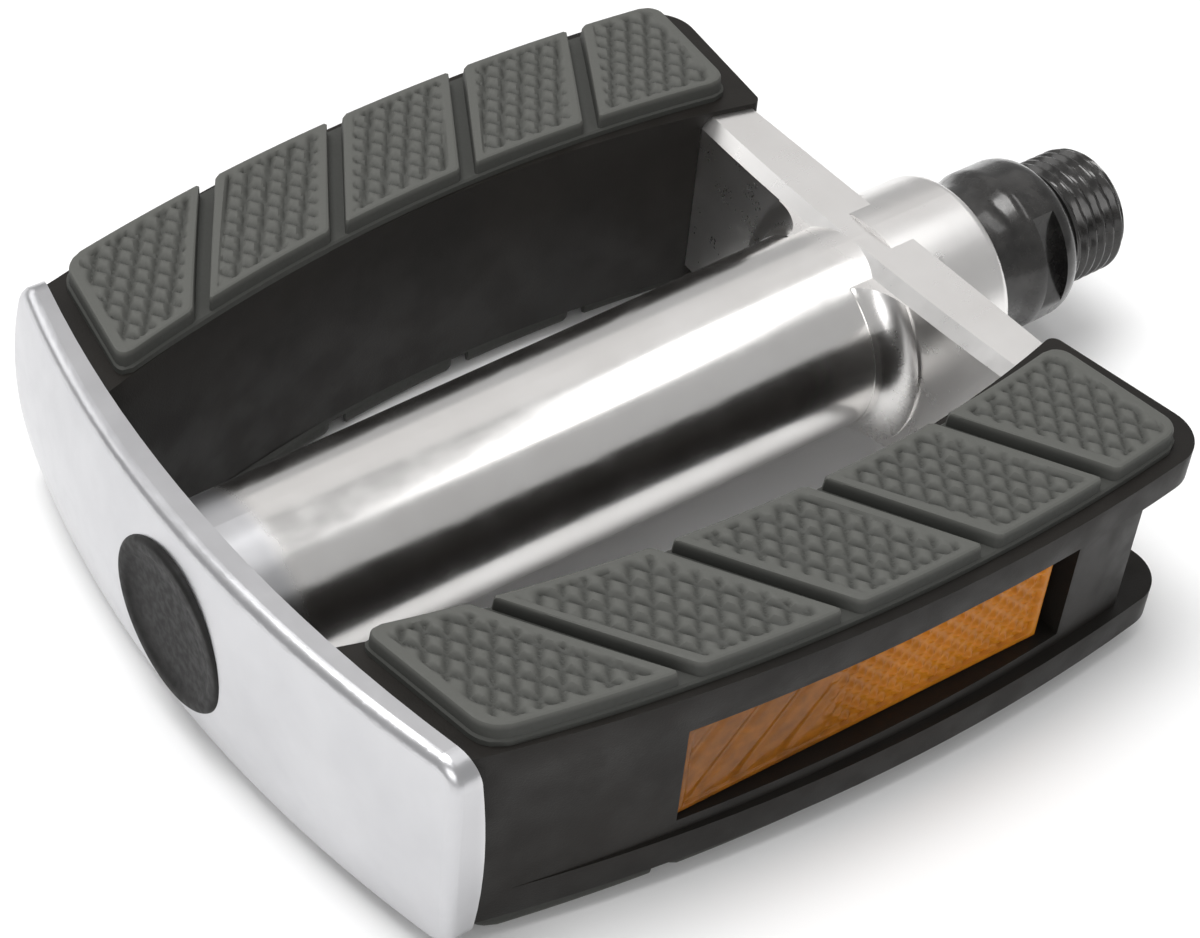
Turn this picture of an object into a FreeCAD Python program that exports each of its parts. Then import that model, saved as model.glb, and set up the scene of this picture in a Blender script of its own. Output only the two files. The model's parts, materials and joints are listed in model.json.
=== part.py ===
"""Flat bicycle pedal: one casting, two plastic treads with rubber pads, and a cup-and-cone axle.

Frame: the origin is on the axle's axis at the shoulder that seats against the crank arm.
+X points along the axle into the crank, +Y to the rear tread and +Z up. Millimetres.
While the pieces are made, x is a station counted from the outboard face of the pedal.
The pedal is its own mirror image in Y and in Z, so one tread and one pad are drawn and mirrored.
"""
import FreeCAD, Part
import math
import os

# ---- Driving dimensions ------------------------------------------------------------------
# Stations along the axle, from the outboard face
plate_thickness = 4.2       # outboard plate, in the middle
barrel_end = 79.0           # inner face of the inboard plate, in the middle
inboard_face = 85.7         # outer face of the inboard plate
boss_end = 94.6
shoulder = 107.0            # crank shoulder: the origin
axle_end = 116.0

# Outboard plate
plate_plan_radius = 145.0   # outer face seen from above
plate_crown_radius = 55.0   # outer face seen along Y
plate_inner_radius = 165.0
plate_half_height = 12.0
plate_half_width = 36.6     # at the corners
plate_end_bulge = 1.1       # the ends are this much further out at mid height
plate_corner_radius = 3.0
plate_edge_radius = 1.3

# Barrel, inboard plate and boss
barrel_radii = (9.7, 10.65)  # the barrel tapers: outboard and inboard ends
barrel_bore = 7.3
boss_radius = 11.1
boss_edge_radius = 1.1
flare_radius = 3.0
web_half_height = 10.6      # inboard plate
web_half_width = 23.9
web_bow = 0.9               # the inner face leans in this much towards its ends
web_chamfer = 1.2
ear_half_width = 33.8
ear_half_height = 6.5
ear_thickness = 4.6
ear_inset = 0.6             # the ears stop this far short of the plate's outer face
root = 3.0                  # how far solids reach into each other where they are joined

# Treads: plan curves are arcs, (centre station, largest y, radius)
tread_inner_arc = (52.2, 26.6, 146.0)
tread_outer_arc = (64.5, 43.35, 205.0)
tread_web_arc = (62.3, 42.3, 222.0)
pad_inner_arc = (57.0, 27.3, 172.0)
pad_outer_arc = (62.5, 41.75, 215.0)
tread_left_end = (3.0, 3.0)     # stations of the inner and outer corners
tread_right_end = (86.8, 89.6)
tread_corner_radii = (1.0, 4.5)
tread_top = 11.2
flange_bottom = 7.6
wall = 2.4
web_end = 82.0
cavity_inner_y = 30.0       # the mouth between the flanges starts here
cavity_start = 13.0
cavity_rib = 2.0            # rib across the middle of the hollow
cavity_skin = 1.6           # wall between the hollow and the reflector's pocket
tongue_span = (27.0, 33.0)    # y of the rib that locates the tread in the plate
tongue_depth = 1.4
tongue_half_height = 5.0
cavity_end = 66.0

# Pads
pad_left_end = (7.6, 10.0)
pad_right_end = (84.0, 85.9)
pad_corner_radius = 2.0
pad_sharp_radius = 1.6      # the inner corner at the outboard end
pad_top = 13.6
groove_width = 1.7
groove_depth = 1.1
groove_inner_ends = (17.8, 35.1, 51.6, 67.1)
groove_outer_ends = (28.2, 44.5, 60.2, 75.5)
peg_radius = 2.0
peg_places = ((17.0, 31.5), (45.0, 34.5), (62.0, 34.8))

# Reflectors
window_start = 28.3
window_end = 73.1
window_half_height = 6.0
lens_face = 40.2            # y of the lens's flat outer face, half way along
lens_turn = 2.5             # degrees that the lens turns to follow the tread's outer face
lens_thickness = 2.4
lens_length = 42.6
carrier_thickness = 1.2
lens_gap = 0.15

# Axle and bearings
thread_radius = 7.144       # 9/16 inch by 20 threads per inch, drawn as its major cylinder
thread_chamfer = 0.8
collar_radius = 9.1
across_flats = 15.0
flat_start = 101.7
flat_end = 104.7
flat_tilt = 22.0            # degrees that the front flat leans up from facing -Y
small_thread_radius = 3.97  # 5/16 inch
axle_start = 8.4
ball_radius = 1.5875         # 1/8 inch balls
ball_clearance = 0.03
outboard_row = (19.0, 6.3, 11)      # station, pitch radius, balls
inboard_row = (87.6, 6.9, 12)
outboard_seat_radius = 8.5
inboard_seat_radius = 9.4
cup_length = 7.6
cup_mouth = 3.6             # from the ball centres to the open end of a cup
cap_radius = 8.8
cap_face = 0.0
cap_depth = 2.4

# Screws
screw_radius = 1.75
screw_head_radius = 3.1
screw_head_height = 2.2
screw_clearance = 0.25
screw_drive = (3.8, 0.7, 1.3)  # cross recess: length, width and depth
screw_length = 14.0
screw_y = 29.0
screw_z = 3.3

far = 200.0                 # larger than the pedal, for cutting solids
ear_face = inboard_face - ear_inset
race_radius = ball_radius + ball_clearance
V = FreeCAD.Vector
X_AXIS, Y_AXIS, Z_AXIS = V(1, 0, 0), V(0, 1, 0), V(0, 0, 1)


# ---- Helpers -----------------------------------------------------------------------------
def cylinder(radius, start, end, y=0.0, z=0.0):
    """Cylinder along X between two stations."""
    return Part.makeCylinder(radius, end - start, V(start, y, z), X_AXIS)


def block(x_range, y_range, z_range):
    """Box between two corners, given as ranges."""
    size = [high - low for low, high in (x_range, y_range, z_range)]
    return Part.makeBox(*size, V(x_range[0], y_range[0], z_range[0]))


def turned(points):
    """Solid turned about the axle. points are (station, radius), or three in a tuple for an arc."""
    edges = []
    for here, there in zip(points, points[1:] + points[:1]):
        start = here[-1] if isinstance(here[0], tuple) else here
        if isinstance(there[0], tuple):
            first, middle, last = [V(s, 0, r) for s, r in there]
            if (V(start[0], 0, start[1]) - first).Length > 1e-6:
                edges.append(Part.LineSegment(V(start[0], 0, start[1]), first).toShape())
            edges.append(Part.Arc(first, middle, last).toShape())
        elif start != there:
            edges.append(Part.LineSegment(V(start[0], 0, start[1]), V(there[0], 0, there[1])).toShape())
    face = Part.Face(Part.Wire(edges))
    return face.revolve(V(0, 0, 0), X_AXIS, 360)


def quarter(centre, radius, from_angle, to_angle):
    """Three points on an arc in the (station, radius) plane, for turned()."""
    angles = (from_angle, (from_angle + to_angle) / 2, to_angle)
    return tuple((centre[0] + radius * math.cos(math.radians(a)),
                  centre[1] + radius * math.sin(math.radians(a))) for a in angles)


def arc_y(arc, x):
    """y of a plan arc at a station."""
    centre, top, radius = arc
    return top - radius + math.sqrt(radius ** 2 - (x - centre) ** 2)


def arc_points(arc, x_from, x_to, z=0.0):
    """Start, middle and end of a plan arc between two stations."""
    stations = (x_from, (x_from + x_to) / 2, x_to)
    return [V(x, arc_y(arc, x), z) for x in stations]


def plan_solid(inner_arc, outer_arc, left, right, z_range):
    """Prism between two plan arcs. left and right hold the stations of the inner and outer corners."""
    inner = arc_points(inner_arc, left[0], right[0], z_range[0])
    outer = arc_points(outer_arc, right[1], left[1], z_range[0])
    edges = [Part.Arc(*inner).toShape(),
             Part.LineSegment(inner[-1], outer[0]).toShape(),
             Part.Arc(*outer).toShape(),
             Part.LineSegment(outer[-1], inner[0]).toShape()]
    return Part.Face(Part.Wire(edges)).extrude(V(0, 0, z_range[1] - z_range[0]))


def upright_edges(shape, keep):
    """Straight edges along Z whose middle passes the test keep(point)."""
    found = []
    for edge in shape.Edges:
        box = edge.BoundBox
        if max(box.XLength, box.YLength) < 1e-4 and keep(edge.BoundBox.Center):
            found.append(edge)
    return found


def mirrored(shape, normal):
    return shape.mirror(V(0, 0, 0), normal)


# ---- Casting -----------------------------------------------------------------------------
def plate_inner_cylinder():
    """What lies inboard of the outboard plate's hollow inner face."""
    centre = V(plate_thickness + plate_inner_radius, 0, -far / 2)
    return Part.makeCylinder(plate_inner_radius, far, centre, Z_AXIS)


def outboard_plate():
    # The pillowed outer face: an upright arc swung about a far upright line.
    reach = 20.0
    rise = plate_crown_radius - math.sqrt(plate_crown_radius ** 2 - reach ** 2)
    low, high = V(rise, 0, -reach), V(rise, 0, reach)
    back_low, back_high = V(reach, 0, -reach), V(reach, 0, reach)
    section = Part.Wire([Part.Arc(low, V(0, 0, 0), high).toShape(),
                         Part.LineSegment(high, back_high).toShape(),
                         Part.LineSegment(back_high, back_low).toShape(),
                         Part.LineSegment(back_low, low).toShape()])
    swing = 25
    pillow = Part.Face(section)
    pillow.rotate(V(plate_plan_radius, 0, 0), Z_AXIS, -swing)
    pillow = pillow.revolve(V(plate_plan_radius, 0, 0), Z_AXIS, 2 * swing)

    # The outline seen from outboard: straight top and bottom, bulging ends, round corners.
    y, z, bulge = plate_half_width, plate_half_height, plate_end_bulge
    corners = [V(-reach, -y, -z), V(-reach, y, -z), V(-reach, y, z), V(-reach, -y, z)]
    outline = Part.Wire([Part.LineSegment(corners[0], corners[1]).toShape(),
                         Part.Arc(corners[1], V(-reach, y + bulge, 0), corners[2]).toShape(),
                         Part.LineSegment(corners[2], corners[3]).toShape(),
                         Part.Arc(corners[3], V(-reach, -y - bulge, 0), corners[0]).toShape()])
    prism = Part.Face(outline).extrude(V(2 * reach, 0, 0))
    along_x = [e for e in prism.Edges if e.BoundBox.XLength > reach]
    prism = prism.makeFillet(plate_corner_radius, along_x)

    plate = pillow.common(prism).cut(plate_inner_cylinder())
    outer_rim = [e for e in plate.Edges if touches_outer_face(e)]
    return plate.makeFillet(plate_edge_radius, outer_rim)


def touches_outer_face(edge):
    """True for an edge that lies on the outboard plate's outer face."""
    point = edge.valueAt((edge.FirstParameter + edge.LastParameter) / 2)
    swing = plate_plan_radius - math.hypot(point.x - plate_plan_radius, point.y)
    crown = plate_crown_radius - math.sqrt(plate_crown_radius ** 2 - point.z ** 2)
    return abs(swing - crown) < 0.05


def inboard_web():
    # Plan outline of the web between the barrel and the treads.
    lean = barrel_end + web_bow
    corners = [V(inboard_face, -web_half_width, -web_half_height),
               V(inboard_face, web_half_width, -web_half_height)]
    inner = [V(lean, web_half_width, -web_half_height), V(barrel_end, 0, -web_half_height),
             V(lean, -web_half_width, -web_half_height)]
    outline = Part.Wire([Part.LineSegment(corners[0], corners[1]).toShape(),
                         Part.LineSegment(corners[1], inner[0]).toShape(),
                         Part.Arc(*inner).toShape(),
                         Part.LineSegment(inner[2], corners[0]).toShape()])
    web = Part.Face(outline).extrude(V(0, 0, 2 * web_half_height))
    inner_rims = [e for e in web.Edges
                  if e.BoundBox.ZLength < 1e-4 and e.BoundBox.XMax < barrel_end + web_bow + 0.01
                  and e.BoundBox.YLength > web_half_width]
    web = web.makeChamfer(web_chamfer, inner_rims)
    ears = block((ear_face - ear_thickness, ear_face), (-ear_half_width, ear_half_width),
                 (-ear_half_height, ear_half_height))
    return web.fuse(ears)


def barrel_flare():
    """Hollow fillets where the barrel and the boss meet the inboard web."""
    r, b, flare = barrel_radii[1], boss_radius, flare_radius
    inner = turned([(barrel_end - flare, r - root),
                    quarter((barrel_end - flare, r + flare), flare, -90, 0),
                    (barrel_end + root, r + flare), (barrel_end + root, r - root)])
    small = flare * 0.6
    outer = turned([(inboard_face - root, b - root), (inboard_face - root, b + small),
                    quarter((inboard_face + small, b + small), small, 180, 270),
                    (inboard_face + small, b - root)])
    below_chamfer = web_half_height - web_chamfer
    slab = block((barrel_end - 2 * flare, inboard_face + flare), (-web_half_width, web_half_width),
                 (-below_chamfer, below_chamfer))
    return inner.fuse(outer).common(slab)


def body_casting():
    start, end = plate_thickness - root / 2, inboard_face - root / 2
    barrel = turned([(start, 0), (start, barrel_radii[0]), (end, barrel_radii[1]), (end, 0)])
    boss = cylinder(boss_radius, inboard_face - root, boss_end)
    rim = [e for e in boss.Edges if e.BoundBox.XMin > boss_end - 0.01]
    boss = boss.makeFillet(boss_edge_radius, rim)
    casting = outboard_plate().fuse([barrel, inboard_web(), barrel_flare(), boss])

    bore_end = outboard_row[0] - cup_mouth + cup_length + 0.9
    seat_start = inboard_row[0] + cup_mouth - cup_length
    casting = casting.cut(cylinder(cap_radius, -root, cap_depth))
    casting = casting.cut(cylinder(outboard_seat_radius, cap_depth, bore_end))
    casting = casting.cut(cylinder(barrel_bore, bore_end, seat_start))
    casting = casting.cut(cylinder(inboard_seat_radius, seat_start, boss_end + root))
    for side in (1, -1):
        for z in (-screw_z, screw_z):
            hole = cylinder(screw_radius + screw_clearance, barrel_end, inboard_face, side * screw_y, z)
            casting = casting.cut(hole)
        # Blind pocket in the outboard plate for the tread's tongue
        casting = casting.cut(tongue(side))
    return casting.removeSplitter()


def tongue(side):
    """Rib on the tread's outboard end that sits in the plate's pocket."""
    near, beyond = tongue_span
    middle = (near + beyond) / 2
    start = plate_thickness + middle ** 2 / (2 * plate_inner_radius) - tongue_depth
    y_range = sorted((side * near, side * beyond))
    return block((start, plate_thickness + 2 * root), y_range, (-tongue_half_height, tongue_half_height))


# ---- Treads ------------------------------------------------------------------------------
def rear_tread(casting):
    full = plan_solid(tread_inner_arc, tread_outer_arc, tread_left_end, tread_right_end,
                      (-tread_top, tread_top))
    for side, radius in ((-1, tread_corner_radii[0]), (1, tread_corner_radii[1])):
        corner = upright_edges(full, lambda p: p.x > web_end and side * (p.y - ear_half_width) > 0)
        full = full.makeFillet(radius, corner)

    # Between the flanges the outer web is set back, and stops short of the inboard end.
    between_flanges = (-flange_bottom, flange_bottom)
    beyond = (tread_web_arc[0], 2 * tread_outer_arc[1], far)
    set_back = plan_solid(tread_web_arc, beyond, (0, 0), (shoulder, shoulder), between_flanges)
    mouth = block((web_end, shoulder), (cavity_inner_y, far), between_flanges)
    tread = full.cut(set_back).cut(mouth)

    # Hollow between the inner wall and the web, in two cells with a rib between them
    cavity_inner = (tread_inner_arc[0], tread_inner_arc[1] + wall, tread_inner_arc[2])
    pocket_floor = lens_face - lens_thickness - carrier_thickness
    cavity_outer = (tread_web_arc[0], pocket_floor - cavity_skin, tread_web_arc[2])
    middle = (cavity_start + cavity_end) / 2
    for start, end in ((cavity_start, middle - cavity_rib / 2), (middle + cavity_rib / 2, cavity_end)):
        cell = plan_solid(cavity_inner, cavity_outer, (start, start), (end, end), between_flanges)
        tread = tread.cut(cell)

    # Window for the reflector, with its pocket
    tread = tread.cut(in_window(window_start, window_end, pocket_floor, far, window_half_height))

    # Seats for the ear and the screws, and the tongue that locates the outboard end
    tread = tread.cut(block((ear_face - ear_thickness, shoulder), (0, ear_half_width),
                            (-ear_half_height, ear_half_height)))
    for z in (-screw_z, screw_z):
        tread = tread.cut(cylinder(screw_radius, ear_face - screw_length, ear_face, screw_y, z))
    for x, y in peg_places:
        for side in (1, -1):
            tread = tread.cut(pad_peg(x, y, side))
    web_space = block((barrel_end, inboard_face), (0, web_half_width), (-web_half_height, web_half_height))
    tread = tread.cut(plate_outer_side()).cut(web_space)
    tread = tread.fuse(tongue(1).cut(plate_inner_cylinder()))
    return tread.cut(casting)


def plate_outer_side():
    """Everything outboard of the plate's inner face."""
    slab = block((-plate_thickness, 4 * plate_thickness), (-far, far), (-far / 2, far / 2))
    return slab.cut(plate_inner_cylinder())


# ---- Pads --------------------------------------------------------------------------------
def pad_peg(x, y, side):
    """Peg under a pad that fills a hole in the tread's flange."""
    low, high = sorted((side * flange_bottom, side * tread_top))
    return Part.makeCylinder(peg_radius, high - low, V(x, y, low), Z_AXIS)


def rear_top_pad():
    pad = plan_solid(pad_inner_arc, pad_outer_arc, pad_left_end, pad_right_end, (tread_top, pad_top))
    def is_sharp(p):
        return p.x < cavity_start and p.y < pad_inner_arc[1]

    pad = pad.makeFillet(pad_sharp_radius, upright_edges(pad, is_sharp))
    others = upright_edges(pad, lambda p: p.x > cavity_start or p.y > pad_inner_arc[1])
    pad = pad.makeFillet(pad_corner_radius, others)
    for inner_x, outer_x in zip(groove_inner_ends, groove_outer_ends):
        start = V(inner_x, arc_y(pad_inner_arc, inner_x), 0)
        end = V(outer_x, arc_y(pad_outer_arc, outer_x), 0)
        run = end - start
        runout = 6.0
        slot = block((-runout, run.Length + runout), (-groove_width / 2, groove_width / 2),
                     (pad_top - groove_depth, pad_top + root))
        slot.rotate(V(0, 0, 0), Z_AXIS, math.degrees(math.atan2(run.y, run.x)))
        slot.translate(start)
        pad = pad.cut(slot)
    for x, y in peg_places:
        pad = pad.fuse(pad_peg(x, y, 1))
    return pad.removeSplitter()


# ---- Reflectors --------------------------------------------------------------------------
def in_window(start, end, near, beyond, half_height):
    """Block in the rear tread's window, turned to follow the tread's outer face."""
    shape = block((start, end), (near, beyond), (-half_height, half_height))
    middle = V((window_start + window_end) / 2, lens_face, 0)
    shape.rotate(middle, Z_AXIS, lens_turn)
    return shape


def rear_lens():
    start = window_start + lens_gap
    return in_window(start, start + lens_length, lens_face - lens_thickness, lens_face,
                     window_half_height - lens_gap)


def rear_carrier():
    start = window_start + lens_gap
    back = lens_face - lens_thickness
    return in_window(start, start + lens_length, back - carrier_thickness, back,
                     window_half_height - lens_gap)


# ---- Axle and bearings -------------------------------------------------------------------
def axle():
    row, pitch, _ = inboard_row
    waist = inboard_row[1] - race_radius - 0.05
    shape = turned([(axle_start, 0), (axle_start, small_thread_radius - 0.5),
                    (axle_start + 0.5, small_thread_radius), (24, small_thread_radius),
                    (25.5, 4.7), (70, waist), (row, waist), (row, pitch - race_radius),
                    quarter((row, pitch), race_radius, -90, 0),
                    (row + race_radius, pitch), (boss_end + 0.4, pitch),
                    (boss_end + 0.4, 8.0), (99.0, 8.2), (101.2, collar_radius),
                    ((105.0, collar_radius), (106.4, 8.7), (shoulder, 7.9)),
                    (shoulder, thread_radius), (axle_end - thread_chamfer, thread_radius),
                    (axle_end, thread_radius - thread_chamfer), (axle_end, 0)])
    for side in (1, -1):
        low, high = sorted((side * across_flats / 2, side * 20))
        flat = block((flat_start, flat_end), (low, high), (-20, 20))
        flat.rotate(V(0, 0, 0), X_AXIS, -flat_tilt)
        shape = shape.cut(flat)
    return shape.cut(keyway())


def keyway():
    """Slot along the small thread that keeps the lock washer from turning."""
    return block((axle_start - 1, 15), (-0.8, 0.8), (small_thread_radius - 0.8, 6))


def outboard_cone():
    row, pitch, _ = outboard_row
    nose = pitch - race_radius
    return turned([(13.7, small_thread_radius), (13.7, pitch + 0.3), (row - race_radius, pitch + 0.3),
                   (row - race_radius, pitch), quarter((row, pitch), race_radius, 180, 270),
                   (row, nose), (22.0, nose), (22.0, small_thread_radius)])


def lock_washer():
    ring = cylinder(6.3, 12.5, 13.7).cut(cylinder(small_thread_radius, 12, 14))
    tab = keyway().common(cylinder(small_thread_radius + 0.3, 12.5, 13.7))
    return ring.fuse(tab).removeSplitter()


def lock_nut():
    across = 12.0
    corner = across / math.sqrt(3)
    points = [V(8.9, corner * math.cos(math.radians(a)), corner * math.sin(math.radians(a)))
              for a in range(0, 361, 60)]
    nut = Part.Face(Part.makePolygon(points)).extrude(V(3.6, 0, 0))
    return nut.cut(cylinder(small_thread_radius, 8, 13))


def bearing_cup(row, seat_radius, opening):
    """Pressed cup: opening is the direction along X from which its balls go in."""
    station, pitch, _ = row
    away = -opening
    outer = pitch + race_radius
    lip = pitch - 0.6
    angle = 0 if away > 0 else 180
    mouth = station + opening * cup_mouth
    back = mouth + away * cup_length
    return turned([(mouth, seat_radius), (mouth, outer), (station, outer),
                   quarter((station, pitch), race_radius, 90, angle),
                   (station + away * race_radius, lip), (back, lip), (back, seat_radius)])


def ball_row(row):
    station, pitch, count = row
    balls = []
    for number in range(count):
        angle = 2 * math.pi * number / count
        centre = V(station, pitch * math.cos(angle), pitch * math.sin(angle))
        balls.append(Part.makeSphere(ball_radius, centre))
    return Part.makeCompound(balls)


def inboard_seal():
    bore = inboard_row[1] + 0.06
    return turned([(92.0, bore), (92.0, inboard_seat_radius), (boss_end - 0.4, inboard_seat_radius),
                   (boss_end - 0.1, bore + 0.6), (boss_end - 0.1, bore)])


def dust_cap():
    skirt = outboard_seat_radius
    return turned([(cap_face, 0), (cap_face, cap_radius - 0.5), (cap_face + 0.5, cap_radius),
                   (cap_depth, cap_radius), (cap_depth, skirt), (7.0, skirt), (7.0, skirt - 1.1),
                   (cap_depth, skirt - 1.1), (cap_depth, 0)])


# ---- Screws ------------------------------------------------------------------------------
def tread_screws(side):
    length, width, depth = screw_drive
    top_face = ear_face + screw_head_height
    screws = []
    for z in (-screw_z, screw_z):
        shank = cylinder(screw_radius, ear_face - screw_length, ear_face + depth / 2, side * screw_y, z)
        head = cylinder(screw_head_radius, ear_face, top_face, side * screw_y, z)
        top = [e for e in head.Edges if e.BoundBox.XMin > top_face - 0.01]
        head = head.makeFillet(0.7, top)
        screw = shank.fuse(head)
        for turn in (0, 90):
            slot = block((top_face - depth, top_face + root), (-length / 2, length / 2),
                         (-width / 2, width / 2))
            slot.rotate(V(0, 0, 0), X_AXIS, turn)
            slot.translate(V(0, side * screw_y, z))
            screw = screw.cut(slot)
        screws.append(screw.removeSplitter())
    return Part.makeCompound(screws)


# ---- All nodes ---------------------------------------------------------------------------
casting_shape = body_casting()
tread_shape = rear_tread(casting_shape)
pad_shape = rear_top_pad()
nodes = {
    "axle": axle(),
    "outboard_cone": outboard_cone(),
    "lock_washer": lock_washer(),
    "lock_nut": lock_nut(),
    "outboard_balls": ball_row(outboard_row),
    "inboard_balls": ball_row(inboard_row),
    "outboard_cup": bearing_cup(outboard_row, outboard_seat_radius, -1),
    "inboard_cup": bearing_cup(inboard_row, inboard_seat_radius, 1),
    "inboard_seal": inboard_seal(),
    "dust_cap": dust_cap(),
    "body_casting": casting_shape,
    "rear_tread": tread_shape,
    "rear_top_pad": pad_shape,
    "rear_bottom_pad": mirrored(pad_shape, Z_AXIS),
    "rear_reflector": rear_lens(),
    "rear_reflector_back": rear_carrier(),
    "rear_tread_screws": tread_screws(1),
    "front_tread_screws": tread_screws(-1),
}
for name in ("tread", "top_pad", "bottom_pad", "reflector", "reflector_back"):
    nodes["front_" + name] = mirrored(nodes["rear_" + name], Y_AXIS)

os.makedirs("parts", exist_ok=True)
for name, shape in nodes.items():
    shape = shape.copy()
    shape.translate(V(-shoulder, 0, 0))
    shape.exportStep("parts/" + name + ".step")
    box = shape.BoundBox
    print(f"{name:22s} solids {len(shape.Solids):2d} valid {shape.isValid()} volume {shape.Volume:9.1f}"
          f"  x {box.XMin:7.2f} {box.XMax:7.2f}  y {box.YMin:7.2f} {box.YMax:7.2f}"
          f"  z {box.ZMin:7.2f} {box.ZMax:7.2f}")
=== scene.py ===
"""Looks of a flat bicycle pedal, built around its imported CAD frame.

The frame's origin is on the axle at the crank shoulder, with +X into the crank and +Z up, in metres.
Dimensions here are in millimetres and become metres when a mesh is made. As in the CAD source,
a station is a distance inboard from the pedal's outboard face.
"""
import bpy
import json
import math
from mathutils import Matrix, Vector


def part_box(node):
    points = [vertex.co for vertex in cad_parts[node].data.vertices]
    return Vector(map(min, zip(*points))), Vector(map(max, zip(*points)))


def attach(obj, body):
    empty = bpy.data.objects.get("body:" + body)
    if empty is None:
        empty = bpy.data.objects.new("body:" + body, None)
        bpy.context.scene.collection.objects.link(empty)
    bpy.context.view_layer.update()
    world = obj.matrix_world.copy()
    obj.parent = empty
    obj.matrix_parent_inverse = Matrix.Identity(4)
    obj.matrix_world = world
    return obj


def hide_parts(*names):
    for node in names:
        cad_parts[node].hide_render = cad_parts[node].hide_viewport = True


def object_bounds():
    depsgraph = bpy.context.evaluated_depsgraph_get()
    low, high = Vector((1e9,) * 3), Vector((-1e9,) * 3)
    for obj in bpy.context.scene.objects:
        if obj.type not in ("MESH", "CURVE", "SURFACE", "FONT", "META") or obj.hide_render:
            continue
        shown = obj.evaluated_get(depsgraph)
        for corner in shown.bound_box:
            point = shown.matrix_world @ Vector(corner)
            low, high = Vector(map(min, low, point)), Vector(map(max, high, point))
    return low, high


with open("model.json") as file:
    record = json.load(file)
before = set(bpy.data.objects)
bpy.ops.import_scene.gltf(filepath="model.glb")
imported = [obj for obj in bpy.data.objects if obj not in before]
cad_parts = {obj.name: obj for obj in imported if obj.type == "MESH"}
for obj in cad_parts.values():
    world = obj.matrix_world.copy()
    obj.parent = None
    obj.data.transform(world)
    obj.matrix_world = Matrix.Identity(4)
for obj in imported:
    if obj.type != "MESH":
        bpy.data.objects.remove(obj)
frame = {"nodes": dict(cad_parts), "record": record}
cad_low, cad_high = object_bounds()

MM = 0.001
nodes = frame["nodes"]
outboard_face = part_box("dust_cap")[0].x / MM     # station 0
pad_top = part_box("rear_top_pad")[1].z / MM
tread_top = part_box("rear_tread")[1].z / MM
axle_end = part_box("axle")[1].x / MM


# ---- Mesh helpers ------------------------------------------------------------------------
class Shell:
    """Points and faces that grow into one mesh. Points are in millimetres in the row frame."""

    def __init__(self):
        self.points = []
        self.faces = []

    def grid(self, rows, around=False):
        """Quads between rows of points. around joins each row's last point to its first.

        Gives back the number of the first point.
        """
        width = len(rows[0])
        first = len(self.points)
        for row in rows:
            self.points.extend(row)
        span = width if around else width - 1
        for r in range(len(rows) - 1):
            for c in range(span):
                a = first + r * width + c
                b = first + r * width + (c + 1) % width
                self.faces.append((a, b, b + width, a + width))
        return first

    def lid(self, start, count, middle, flip=False):
        """Triangles from a ring of points to a middle point."""
        centre = len(self.points)
        self.points.append(middle)
        for i in range(count):
            a, b = start + i, start + (i + 1) % count
            self.faces.append((b, a, centre) if flip else (a, b, centre))

    def mirrored(self, y_side, z_side):
        """The same shell on the pedal's other side (y_side -1) or underside (z_side -1)."""
        other = Shell()
        other.points = [Vector((p[0], p[1] * y_side, p[2] * z_side)) for p in self.points]
        turned = y_side * z_side < 0
        other.faces = [tuple(reversed(f)) for f in self.faces] if turned else list(self.faces)
        return other

    def make(self, name, body, slot, finish, replaces, sharp=35):
        """The finished piece, riding on its body in place of its CAD node."""
        mesh = bpy.data.meshes.new(name)
        mesh.from_pydata([Vector(p) * MM for p in self.points], [], self.faces)
        mesh.validate()
        mesh.shade_smooth()
        mesh.set_sharp_from_angle(angle=math.radians(sharp))
        mesh.materials.append(finish)
        piece = bpy.data.objects.new(name, mesh)
        bpy.context.scene.collection.objects.link(piece)
        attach(piece, body)
        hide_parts(*replaces)
        return piece


def at(station):
    """Row-frame X of a station, in millimetres."""
    return outboard_face + station


def mix(a, b, share):
    return a + (b - a) * share


def spread(low, high, count):
    return [mix(low, high, i / (count - 1)) for i in range(count)]


def arc_y(arc, station):
    """y of a plan arc, given as (centre station, largest y, radius)."""
    centre, top, radius = arc
    return top - radius + math.sqrt(radius ** 2 - (station - centre) ** 2)


def lathe(shell, profile, steps, radius_at=None):
    """Turn (station, radius) points about the axle. radius_at can trim a ring's radius by angle."""
    rows = []
    for station, radius in profile:
        row = []
        for i in range(steps):
            angle = 2 * math.pi * i / steps
            r = radius_at(station, radius, angle) if radius_at else radius
            row.append(Vector((at(station), r * math.cos(angle), r * math.sin(angle))))
        rows.append(row)
    first = shell.grid(rows, around=True)
    last = first + (len(rows) - 1) * steps
    shell.lid(first, steps, Vector((at(profile[0][0]), 0, 0)), flip=True)
    shell.lid(last, steps, Vector((at(profile[-1][0]), 0, 0)))


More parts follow.
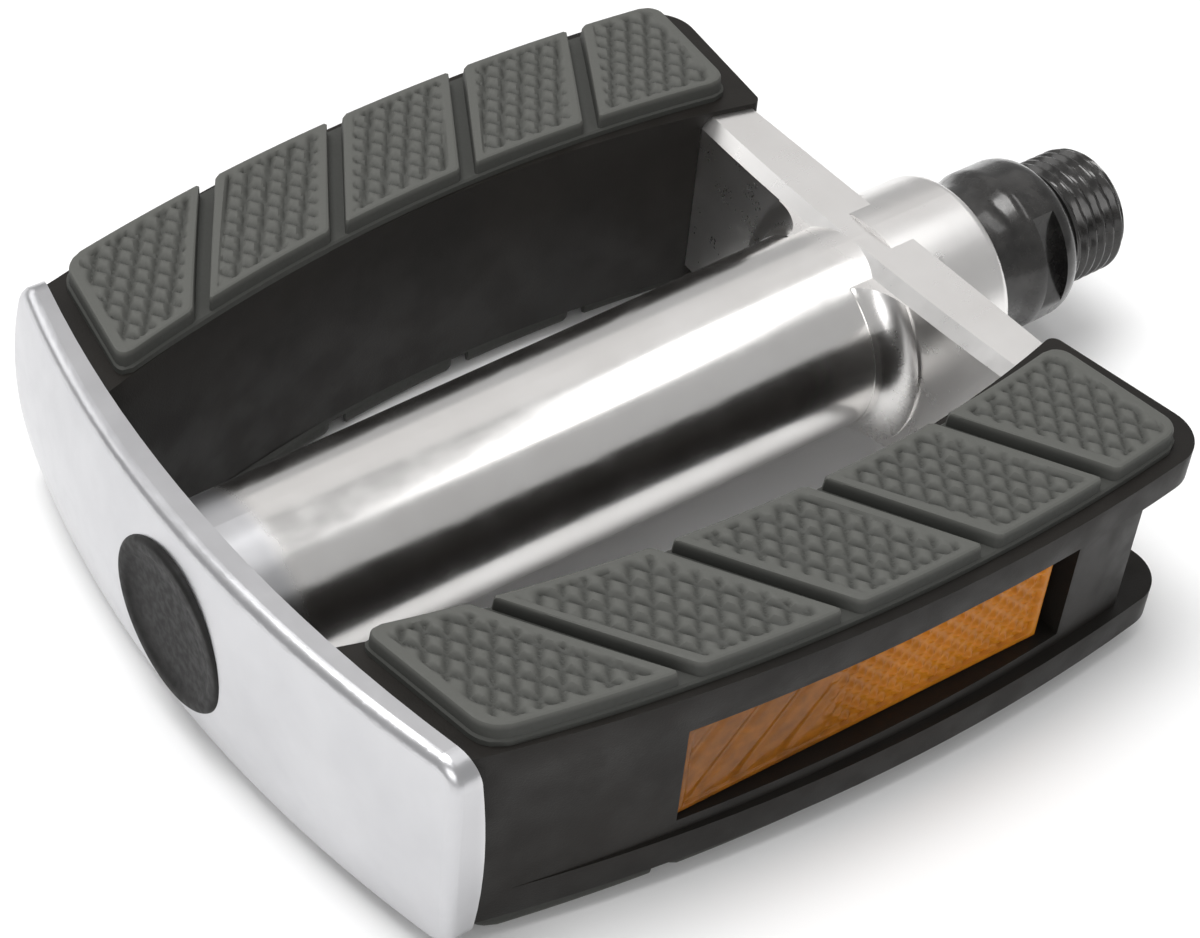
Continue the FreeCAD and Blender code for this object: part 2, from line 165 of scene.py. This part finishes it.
# ---- Materials ---------------------------------------------------------------------------
class Finish:
    """A node material around one Principled shader, with textures in millimetres of the object."""

    def __init__(self, name, **inputs):
        self.material = bpy.data.materials.new(name)
        self.material.use_nodes = True
        self.tree = self.material.node_tree
        self.shader = self.tree.nodes["Principled BSDF"]
        for socket, value in inputs.items():
            self.shader.inputs[socket.replace("_", " ")].default_value = value
        self.coordinates = self.node("ShaderNodeTexCoord").outputs["Object"]

    def node(self, kind, **settings):
        made = self.tree.nodes.new(kind)
        for key, value in settings.items():
            setattr(made, key, value)
        return made

    def link(self, source, target):
        self.tree.links.new(source, target)

    def noise(self, size, detail=3.0, stretch=(1, 1, 1)):
        """Noise whose blotches are about size millimetres across, longer where stretch is over 1."""
        mapping = self.node("ShaderNodeMapping")
        mapping.inputs["Scale"].default_value = [1 / (size * MM * s) for s in stretch]
        texture = self.node("ShaderNodeTexNoise")
        texture.inputs["Scale"].default_value = 1.0
        texture.inputs["Detail"].default_value = detail
        self.link(self.coordinates, mapping.inputs["Vector"])
        self.link(mapping.outputs["Vector"], texture.inputs["Vector"])
        return texture.outputs["Fac"]

    def place(self, axis):
        """The object's own X, Y or Z, in metres."""
        split = self.node("ShaderNodeSeparateXYZ")
        self.link(self.coordinates, split.inputs["Vector"])
        return split.outputs[axis]

    def span(self, source, from_range, to_range):
        """source mapped smoothly from one range to another."""
        mapped = self.node("ShaderNodeMapRange", interpolation_type="SMOOTHSTEP")
        self.link(source, mapped.inputs["Value"])
        for name, value in zip(("From Min", "From Max", "To Min", "To Max"), (*from_range, *to_range)):
            mapped.inputs[name].default_value = value
        return mapped.outputs["Result"]

    def math(self, operation, a, b):
        made = self.node("ShaderNodeMath", operation=operation)
        for socket, value in zip(made.inputs, (a, b)):
            if isinstance(value, (int, float)):
                socket.default_value = value
            else:
                self.link(value, socket)
        return made.outputs["Value"]

    def ramp(self, source, stops):
        """Colours by position along source."""
        ramp = self.node("ShaderNodeValToRGB")
        elements = ramp.color_ramp.elements
        while len(elements) < len(stops):
            elements.new(0.5)
        for element, (position, colour) in zip(elements, stops):
            element.position = position
            element.color = (*colour, 1)
        self.link(source, ramp.inputs["Fac"])
        return ramp.outputs["Color"]

    def colour(self, source):
        self.link(source, self.shader.inputs["Base Color"])

    def roughness(self, source):
        self.link(source, self.shader.inputs["Roughness"])

    def bump(self, source, height):
        """Relief of height millimetres."""
        bump = self.node("ShaderNodeBump")
        bump.inputs["Strength"].default_value = 1.0
        bump.inputs["Distance"].default_value = height * MM
        self.link(source, bump.inputs["Height"])
        self.link(bump.outputs["Normal"], self.shader.inputs["Normal"])


def grey(value, warm=0.0):
    """A near-neutral linear colour, a little redder for a positive warm."""
    return (value * (1 + warm), value, value * (1 - warm))


def cast_aluminium():
    """Satin on the outboard plate and the inboard web, and a softer polish on the barrel."""
    finish = Finish("cast_aluminium", Metallic=1.0)
    cloud = finish.math("MULTIPLY", finish.noise(9, 4), 0.35)
    inboard = finish.span(finish.place("X"), (at(7.5) * MM, at(10.5) * MM), (0.0, 0.6))
    finish.colour(finish.ramp(finish.math("ADD", cloud, inboard),
                              [(0.10, (0.54, 0.54, 0.556)), (0.26, (0.60, 0.60, 0.614)),
                               (0.70, grey(0.80, 0.02)), (0.86, grey(0.87, 0.015))]))
    plate = finish.span(finish.place("X"), (at(8.5) * MM, at(10.5) * MM), (0.12, 0.0))
    web = finish.span(finish.place("X"), (at(75.0) * MM, at(79.5) * MM), (0.0, 0.10))
    wear = finish.span(finish.noise(3, 5), (0.35, 0.75), (0.17, 0.22))
    grain = finish.span(finish.noise(0.35, 5, (9, 1, 1)), (0.3, 0.7), (0.0, 0.015))
    zones = finish.math("ADD", plate, web)
    finish.roughness(finish.math("ADD", zones, finish.math("ADD", wear, grain)))
    return finish.material


def tread_plastic():
    """Glass-filled black nylon with a fine spark-eroded texture."""
    finish = Finish("tread_plastic", Specular_IOR_Level=0.2)
    finish.colour(finish.ramp(finish.noise(12, 5), [(0.3, grey(0.008, 0.15)), (0.75, grey(0.013, 0.15))]))
    finish.roughness(finish.span(finish.noise(4, 4), (0.3, 0.7), (0.42, 0.56)))
    finish.bump(finish.noise(0.18, 2), 0.02)
    return finish.material


def pad_rubber():
    """Grey-green rubber, with painted shade: darker down between the diamonds and in the grooves."""
    finish = Finish("pad_rubber", Specular_IOR_Level=0.35)
    speckle = finish.math("ADD", finish.math("MULTIPLY", finish.noise(0.5, 4), 0.6),
                          finish.math("MULTIPLY", finish.noise(7, 3), 0.4))
    level = finish.math("ABSOLUTE", finish.place("Z"), 0)
    # Painted shade: the colour darkens with depth below the pad top, so the valleys between the diamonds, the
    # block sides and the grooves come out darker; the speckle is random tone.
    raised = finish.span(level, ((pad_top - 0.8) * MM, pad_top * MM), (0.0, 0.8))
    painted_light_and_tone = finish.math("ADD", raised, finish.math("MULTIPLY", speckle, 0.2))
    finish.colour(finish.ramp(painted_light_and_tone, [(0.05, (0.040, 0.041, 0.037)), (0.5, (0.066, 0.067, 0.061)),
                                     (0.92, (0.092, 0.093, 0.085))]))
    finish.roughness(finish.span(speckle, (0.3, 0.7), (0.62, 0.80)))
    finish.bump(finish.noise(0.22, 3), 0.012)
    return finish.material


def amber_lens():
    """Amber acrylic: browner outboard, where its back is smooth, and brighter inboard, where the lighter
    colour is a painted reflection standing for the light the prisms send back.
    """
    finish = Finish("amber_lens", Coat_Weight=0.05, Coat_Roughness=0.03, Specular_IOR_Level=0.12,
                    Subsurface_Weight=0.15, Subsurface_Scale=0.002)
    # Painted reflection: the amber is lighter inboard, standing for the light returned by the prisms behind
    # it.
    along = finish.span(finish.place("X"), (at(40) * MM, at(56) * MM), (0.0, 0.5))
    painted_light_and_tone = finish.math("ADD", along, finish.math("MULTIPLY", finish.noise(1.6, 3), 0.5))
    finish.colour(finish.ramp(painted_light_and_tone, [(0.15, (0.17, 0.062, 0.010)), (0.45, (0.30, 0.105, 0.010)),
                                     (0.85, (0.52, 0.185, 0.014))]))
    finish.roughness(finish.span(finish.noise(2, 3), (0.3, 0.7), (0.12, 0.25)))
    return finish.material


def reflector_backing():
    finish = Finish("reflector_backing", Specular_IOR_Level=0.4)
    finish.colour(finish.ramp(finish.noise(5, 3), [(0.3, (0.05, 0.018, 0.006)), (0.7, (0.09, 0.03, 0.008))]))
    finish.roughness(finish.span(finish.noise(1, 3), (0.3, 0.7), (0.35, 0.5)))
    return finish.material


def cap_plastic():
    """Soft charcoal plastic."""
    finish = Finish("cap_plastic", Specular_IOR_Level=0.12)
    finish.colour(finish.ramp(finish.noise(2.5, 5), [(0.3, grey(0.011, 0.03)), (0.7, grey(0.018, 0.03))]))
    finish.roughness(finish.span(finish.noise(0.8, 4), (0.3, 0.7), (0.45, 0.6)))
    finish.bump(finish.noise(0.15, 2), 0.01)
    return finish.material


def black_steel():
    """Gloss black plating on the axle, slightly mottled."""
    finish = Finish("black_steel", Metallic=0.6, Coat_Weight=0.5, Coat_Roughness=0.12)
    finish.colour(finish.ramp(finish.noise(2.2, 5), [(0.3, grey(0.018, 0.04)), (0.75, grey(0.045, 0.04))]))
    finish.roughness(finish.span(finish.noise(1.2, 5), (0.3, 0.75), (0.18, 0.34)))
    finish.bump(finish.noise(0.6, 3), 0.012)
    return finish.material


def plain_steel(name, shade, low, high, tint=0.0):
    """Turned or plated steel: shade is its brightness, low and high its roughness."""
    finish = Finish(name, Metallic=1.0)
    finish.colour(finish.ramp(finish.noise(1.5, 4),
                              [(0.3, grey(shade * 0.88, tint)), (0.7, grey(shade, tint))]))
    finish.roughness(finish.span(finish.noise(0.7, 4, (1, 4, 4)), (0.3, 0.7), (low, high)))
    return finish.material


def seal_rubber():
    finish = Finish("seal_rubber", Specular_IOR_Level=0.3)
    finish.colour(finish.ramp(finish.noise(1.5, 4), [(0.3, grey(0.012)), (0.7, grey(0.022))]))
    finish.roughness(finish.span(finish.noise(0.8, 3), (0.3, 0.7), (0.6, 0.75)))
    return finish.material


def floor_paint():
    finish = Finish("floor_paint", Specular_IOR_Level=0.2)
    finish.colour(finish.ramp(finish.noise(60, 2), [(0.3, grey(0.90)), (0.7, grey(0.92))]))
    finish.roughness(finish.span(finish.noise(30, 2), (0.3, 0.7), (0.75, 0.85)))
    return finish.material


finishes = {
    "aluminium": cast_aluminium(),
    "tread_plastic": tread_plastic(),
    "pad_rubber": pad_rubber(),
    "reflector_lens": amber_lens(),
    "reflector_back": reflector_backing(),
    "cap_plastic": cap_plastic(),
    "black_steel": black_steel(),
    "bearing_steel": plain_steel("bearing_steel", 0.62, 0.10, 0.20),
    "zinc_steel": plain_steel("zinc_steel", 0.55, 0.25, 0.40, 0.02),
    "seal_rubber": seal_rubber(),
}


# ---- Pads --------------------------------------------------------------------------------
pad_inner_arc = (57.0, 27.3, 172.0)
pad_outer_arc = (62.5, 41.75, 215.0)
pad_left_end = (7.6, 10.0)          # stations of the inner and outer corners
pad_right_end = (84.0, 85.9)
pad_left_radii = (1.6, 2.0)         # corner radii, inner and outer
pad_right_radii = (2.0, 2.0)
groove_inner_ends = (17.8, 35.1, 51.6, 67.1)
groove_outer_ends = (28.2, 44.5, 60.2, 75.5)
groove_width = 1.7
pad_base_height = 0.8               # rubber left under the grooves
pad_base_lip = 0.3                  # how far the base stands out around the blocks
rim_width = 0.9                     # smooth edge round each block
rim_blend = 0.35                    # over which the diamonds fade into the rim
end_lean = 0.85                     # a block's ends slant, so a gap along the axle counts for less
block_width = 15                    # about how wide a block is, for spacing its points
block_flare = 0.12                  # how far a block's foot stands out
groove_corner = 0.35                # corner radius where a block meets a groove
base_edge = 0.2                     # bevel along the base's top
base_overlap = 0.05                 # how far the base reaches into the tread
dimple_depth = 0.6                  # valleys between the diamonds
diamond_length = 2.4                # along the axle
diamond_width = 3.3
diamond_steepness = 1.7             # over 1 leaves a flat on each diamond
block_bevel = 0.3
mesh_step = 0.28


def rounding(distance, radius):
    """How far a rounded corner pulls an end in, at a distance from the side."""
    if distance >= radius:
        return 0.0
    return radius - math.sqrt(radius ** 2 - (radius - distance) ** 2)


def diamond(station, y):
    """Height from 0 to 1 of the moulded diamonds."""
    a, b = station / diamond_length, y / diamond_width
    slopes = [1 - abs(2 * (v % 1) - 1) for v in (a + b, a - b)]
    return min(1.0, diamond_steepness * min(slopes))


def pad_outline(left, right, grow):
    """Function (u, v) -> (station, y) over a block. left and right are (inner, outer, radii)."""
    def place(u, v):
        sides = []
        for (inner, outer, radii), sign in ((left, 1), (right, -1)):
            x = mix(inner, outer, v)
            width = arc_y(pad_outer_arc, x) - arc_y(pad_inner_arc, x)
            cut = rounding(v * width, radii[0]) + rounding((1 - v) * width, radii[1])
            sides.append(x + sign * (cut - grow))
        x = mix(sides[0], sides[1], u)
        low = arc_y(pad_inner_arc, x) - grow
        high = arc_y(pad_outer_arc, x) + grow
        return x, mix(low, high, v)
    return place


def skirt(shell, outlines, heights):
    """Side walls through closed outlines, each at its own height."""
    loops = [[Vector((at(x), y, z)) for x, y in outline] for outline, z in zip(outlines, heights)]
    shell.grid(loops, around=True)


def perimeter(place, us, vs):
    """Points anticlockwise round a block's edge, seen from above."""
    loop = [place(u, 0) for u in us[:-1]] + [place(1, v) for v in vs[:-1]]
    return loop + [place(u, 1) for u in reversed(us[1:])] + [place(0, v) for v in reversed(vs[1:])]


def pad_block(shell, left, right):
    """One raised block: dimpled top, bevelled edge and side walls."""
    top_place = pad_outline(left, right, -block_bevel)
    length = max(right[0] - left[0], right[1] - left[1])
    us = spread(0, 1, max(4, round(length / mesh_step)))
    vs = spread(0, 1, round(block_width / mesh_step))
    rows = []
    for v in vs:
        row = []
        for u in us:
            x, y = top_place(u, v)
            start, end = top_place(0, v)[0], top_place(1, v)[0]
            edge = min((x - start) * end_lean, (end - x) * end_lean,
                       y - arc_y(pad_inner_arc, x), arc_y(pad_outer_arc, x) - y)
            inside = min(1.0, max(0.0, (edge - rim_width) / rim_blend + 0.5))
            drop = dimple_depth * inside * (1 - diamond(x, y))
            row.append(Vector((at(x), y, pad_top - drop)))
        rows.append(row)
    shell.grid(rows)
    wall_base = tread_top + pad_base_height * 0.5
    growths = (-block_bevel, -block_bevel * 0.3, 0.0, block_flare)
    heights = (pad_top, pad_top - block_bevel * 0.3, pad_top - block_bevel, wall_base)
    loops = [perimeter(pad_outline(left, right, g), us, vs) for g in reversed(growths)]
    skirt(shell, loops, tuple(reversed(heights)))


def pad_shell():
    """Rear top pad: five blocks on one base layer."""
    shell = Shell()
    left_end = (*pad_left_end, pad_left_radii)
    right_end = (*pad_right_end, pad_right_radii)
    gaps = []
    for inner, outer in zip(groove_inner_ends, groove_outer_ends):
        rise = arc_y(pad_outer_arc, outer) - arc_y(pad_inner_arc, inner)
        half = groove_width / 2 * math.hypot(outer - inner, rise) / rise
        gaps.append(((inner - half, outer - half), (inner + half, outer + half)))
    square = (groove_corner, groove_corner)
    lefts = [left_end] + [(*gap[1], square) for gap in gaps]
    rights = [(*gap[0], square) for gap in gaps] + [right_end]
    for left, right in zip(lefts, rights):
        pad_block(shell, left, right)

    us, vs = spread(0, 1, 60), spread(0, 1, 30)
    base_top = tread_top + pad_base_height
    base_place = pad_outline(left_end, right_end, pad_base_lip - base_edge)
    shell.grid([[Vector((at(x), y, base_top)) for x, y in (base_place(u, v) for u in us)] for v in vs])
    outlines = [perimeter(pad_outline(left_end, right_end, g), us, vs)
                for g in (pad_base_lip, pad_base_lip, pad_base_lip - base_edge)]
    skirt(shell, outlines, (tread_top - base_overlap, base_top - base_edge, base_top))
    return shell


def make_pads():
    pad = pad_shell()
    for side, y_side in (("rear", 1), ("front", -1)):
        for face, z_side in (("top", 1), ("bottom", -1)):
            name = f"{side}_{face}_pad"
            pad.mirrored(y_side, z_side).make(name + "_blocks", "pedal_body", "pad_rubber",
                                              finishes["pad_rubber"], [name])


# ---- Reflectors --------------------------------------------------------------------------
lens_start = 28.45
lens_length = 42.6
lens_middle = (50.7, 40.2)      # station and y that the lens turns about
lens_turn = math.radians(2.5)
lens_depth = 2.4
lens_half_height = 5.85
lens_border = 0.75
lens_relief = 0.45
lens_edge_drop = 0.12           # how far the border's outer edge is rounded down
lens_edge_width = 0.25
border_blend = 0.2
bead_pitch = 1.5
rib_pitch = 5.2
rib_lean = 0.8
zone_blend = 3                  # over which ribs turn into beads
bead_zone = 46.0                # station where the smooth half gives way to the beads


def lens_height(along, up):
    """Depth of the lens's front below its border, zero at the border."""
    edge = min(along - lens_start, lens_start + lens_length - along, lens_half_height - abs(up))
    if edge < lens_border:
        return -lens_edge_drop * max(0.0, 1 - edge / lens_edge_width) ** 2
    inside = min(1.0, (edge - lens_border) / border_blend)
    a, b = (along + up) / (bead_pitch * math.sqrt(2)), (along - up) / (bead_pitch * math.sqrt(2))
    beads = math.sin(math.pi * a) ** 2 * math.sin(math.pi * b) ** 2
    ribs = math.sin(math.pi * (along - rib_lean * up) / rib_pitch) ** 8
    zone = min(1.0, max(0.0, (along - bead_zone) / zone_blend + 0.5))
    relief = mix(0.75 - 0.35 * ribs, beads, zone)
    return -lens_relief * inside * (1 - relief)


def lens_shell():
    """Rear lens: a moulded front on a plain slab."""
    shell = Shell()
    alongs = spread(lens_start, lens_start + lens_length, 220)
    ups = spread(-lens_half_height, lens_half_height, 62)

    def spot(along, up, depth):
        """Point of the lens, turned with the tread's outer face."""
        x, y = along - lens_middle[0], depth
        c, s = math.cos(lens_turn), math.sin(lens_turn)
        return Vector((at(lens_middle[0] + x * c - y * s), lens_middle[1] + x * s + y * c, up))

    shell.grid([[spot(a, u, lens_height(a, u)) for u in ups] for a in alongs])
    low, high = -lens_half_height, lens_half_height
    loop = ([(a, low) for a in alongs[:-1]] + [(alongs[-1], u) for u in ups[:-1]]
            + [(a, high) for a in reversed(alongs[1:])] + [(alongs[0], u) for u in reversed(ups[1:])])
    sides = [[spot(a, u, -lens_depth) for a, u in loop], [spot(a, u, lens_height(a, u)) for a, u in loop]]
    start = shell.grid(sides, around=True)
    shell.lid(start, len(loop), spot(lens_middle[0], 0, -lens_depth))
    shell.faces = [tuple(reversed(f)) for f in shell.faces]
    return shell


def make_reflectors():
    lens = lens_shell()
    for side, y_side in (("rear", 1), ("front", -1)):
        lens.mirrored(y_side, 1).make(side + "_lens", "pedal_body", "reflector_lens",
                                      finishes["reflector_lens"], [side + "_reflector"], sharp=50)


# ---- Axle --------------------------------------------------------------------------------
thread_radius = 7.144
thread_pitch = 1.27             # 20 threads to the inch
thread_depth = 0.5
collar_radius = 9.1
flat_span = (101.7, 104.7)
flat_reach = 7.5                # from the axis to a flat
flat_tilt = math.radians(22)
shoulder = 107.0
thread_start = 108.1            # after the relief groove
axle_steps = 160


def axle_radius(station, radius, angle):
    """Trims the collar to its two flats and cuts the thread."""
    lean = abs(math.cos(angle + flat_tilt))
    if flat_span[0] < station < flat_span[1] and lean > 0.1:
        radius = min(radius, flat_reach / lean)
    if station > thread_start:
        turn = (station / thread_pitch - angle / (2 * math.pi)) % 1
        groove = max(0.0, 1 - abs(2 * turn - 1) * 1.15)
        fade = min(1.0, (station - thread_start) / 0.6)
        radius = min(radius, thread_radius - thread_depth * groove * fade)
    return radius


def axle_profile():
    """(station, radius) along the whole axle, fine where the thread is."""
    hidden = [(8.4, 3.4), (8.9, 3.97), (24.0, 3.97), (25.5, 4.7), (70.0, 5.2), (87.6, 5.2), (89.2, 6.3),
              (89.4, 6.9), (95.0, 6.9), (95.0, 8.0)]
    cone = [(97.0, 8.08), (99.0, 8.2), (99.6, 8.4), (100.6, 8.9), (101.2, collar_radius)]
    flats = [(flat_span[0], collar_radius), (flat_span[0] + 0.01, collar_radius),
             (flat_span[1] - 0.01, collar_radius), (flat_span[1], collar_radius)]
    rounding_over = [(105.2, collar_radius), (105.9, 8.95), (106.4, 8.7), (106.8, 8.3), (shoulder, 7.9)]
    relief = [(shoulder, 6.6), (107.3, 6.35), (107.7, 6.35), (thread_start, 6.9)]
    thread_end = axle_end + shoulder
    chamfer = 0.8
    turns = spread(thread_start + 0.05, thread_end, 84)
    thread = [(s, min(thread_radius, thread_radius - chamfer + (thread_end - s))) for s in turns]
    recess = [(thread_end, 3.0), (thread_end - 1.5, 1.3)]
    return hidden + cone + flats + rounding_over + relief + thread + recess


def make_axle():
    shell = Shell()
    lathe(shell, axle_profile(), axle_steps, axle_radius)
    shell.make("axle_turned", "axle", "black_steel", finishes["black_steel"], ["axle"], sharp=28)


# ---- Dust cap ----------------------------------------------------------------------------
def make_dust_cap():
    """Plain cap: a dished face inside a rolled edge, and the skirt that grips the bore."""
    shell = Shell()
    edge = [(0.5 - 0.5 * math.cos(a), 8.3 + 0.5 * math.sin(a)) for a in spread(0, math.pi / 2, 7)]
    profile = [(0.55, 0.6), (0.52, 3.0), (0.46, 5.0), (0.34, 6.6), (0.12, 7.2), (0.0, 7.45), *edge,
               (2.4, 8.8), (2.4, 8.5), (7.0, 8.5), (7.0, 7.4), (2.4, 7.4), (2.4, 0.5)]
    lathe(shell, profile, 128)
    shell.make("dust_cap_plain", "pedal_body", "cap_plastic", finishes["cap_plastic"], ["dust_cap"], sharp=40)


# ---- CAD nodes that stay -----------------------------------------------------------------
def dress_cad_nodes():
    """Each kept CAD node takes its slot's finish, and the treads get soft moulded edges."""
    slots = {part["node"]: part["material_slot"] for part in frame["record"]["subparts"]}
    soft_edge = 0.3
    for name, piece in nodes.items():
        if piece.hide_render:
            continue
        slot = slots[name]
        piece.data.materials.clear()
        piece.data.materials.append(finishes[slot])
        if slot == "tread_plastic":
            weld = piece.modifiers.new("weld", "WELD")
            weld.merge_threshold = 1e-6
            bevel = piece.modifiers.new("soft_edges", "BEVEL")
            bevel.width = soft_edge * MM
            bevel.segments = 3
            bevel.limit_method = "ANGLE"
            bevel.angle_limit = math.radians(40)


# ---- Studio ------------------------------------------------------------------------------
def make_floor():
    """A wide pale floor just under the lower pads."""
    level = cad_low.z - 0.0004
    rings = [0.3, 1.0, 4.0]
    mesh = bpy.data.meshes.new("floor")
    points, faces, steps = [], [], 64
    for ring in rings:
        for i in range(steps):
            angle = 2 * math.pi * i / steps
            points.append((ring * math.cos(angle), ring * math.sin(angle), level))
    for r in range(len(rings) - 1):
        for i in range(steps):
            a, b = r * steps + i, r * steps + (i + 1) % steps
            faces.append((a, a + steps, b + steps, b))
    faces.append(tuple(range(steps)))
    mesh.from_pydata(points, [], faces)
    floor = bpy.data.objects.new("floor", mesh)
    floor.data.materials.append(floor_paint())
    bpy.context.scene.collection.objects.link(floor)


def area_light(name, place, target, size, power, colour=(1, 1, 1)):
    """Soft box at place, aimed at target, in metres and watts."""
    data = bpy.data.lights.new(name, "AREA")
    data.shape = "RECTANGLE"
    data.size, data.size_y = size
    data.energy = power
    data.color = colour
    light = bpy.data.objects.new(name, data)
    light.location = place
    light.rotation_euler = (Vector(target) - Vector(place)).to_track_quat("-Z", "Y").to_euler()
    bpy.context.scene.collection.objects.link(light)


def make_studio():
    middle = (cad_low + cad_high) / 2
    area_light("key", (-0.20, 0.10, 0.80), middle, (0.45, 0.45), 5.2)
    area_light("front_fill", (-0.8, -0.7, 0.6), middle, (0.7, 0.5), 2.5)
    area_light("barrel_sky", (0.38, 0.50, 0.64), middle, (0.7, 0.55), 0.38, (1.0, 0.975, 0.96))
    area_light("barrel_streak", (0.36, -0.08, 0.72), middle, (0.5, 0.12), 0.55)
    area_light("back", (-0.3, 0.9, 0.5), middle, (0.8, 0.4), 1.5)
    world = bpy.data.worlds.new("studio")
    world.use_nodes = True
    background = world.node_tree.nodes["Background"]
    background.inputs["Color"].default_value = (1, 1, 1, 1)
    background.inputs["Strength"].default_value = 0.45
    bpy.context.scene.world = world
    bpy.context.scene.view_settings.view_transform = "Standard"


def make_camera():
    """Camera above the front outboard corner."""
    place = Vector((-0.1857, -0.1475, 0.1796))
    aim = Vector((-0.06146, -0.00478, 0))
    roll = math.radians(5.877)
    data = bpy.data.cameras.new("camera")
    data.sensor_width = 36
    data.lens = 80.57
    data.clip_start, data.clip_end = 0.005, 20
    camera = bpy.data.objects.new("camera", data)
    look = (aim - place).to_track_quat("-Z", "Y").to_matrix()
    camera.matrix_world = Matrix.Translation(place) @ (look @ Matrix.Rotation(roll, 3, "Z")).to_4x4()
    bpy.context.scene.collection.objects.link(camera)
    bpy.context.scene.camera = camera


make_pads()
make_reflectors()
make_axle()
make_dust_cap()
dress_cad_nodes()
make_floor()
make_studio()
make_camera()
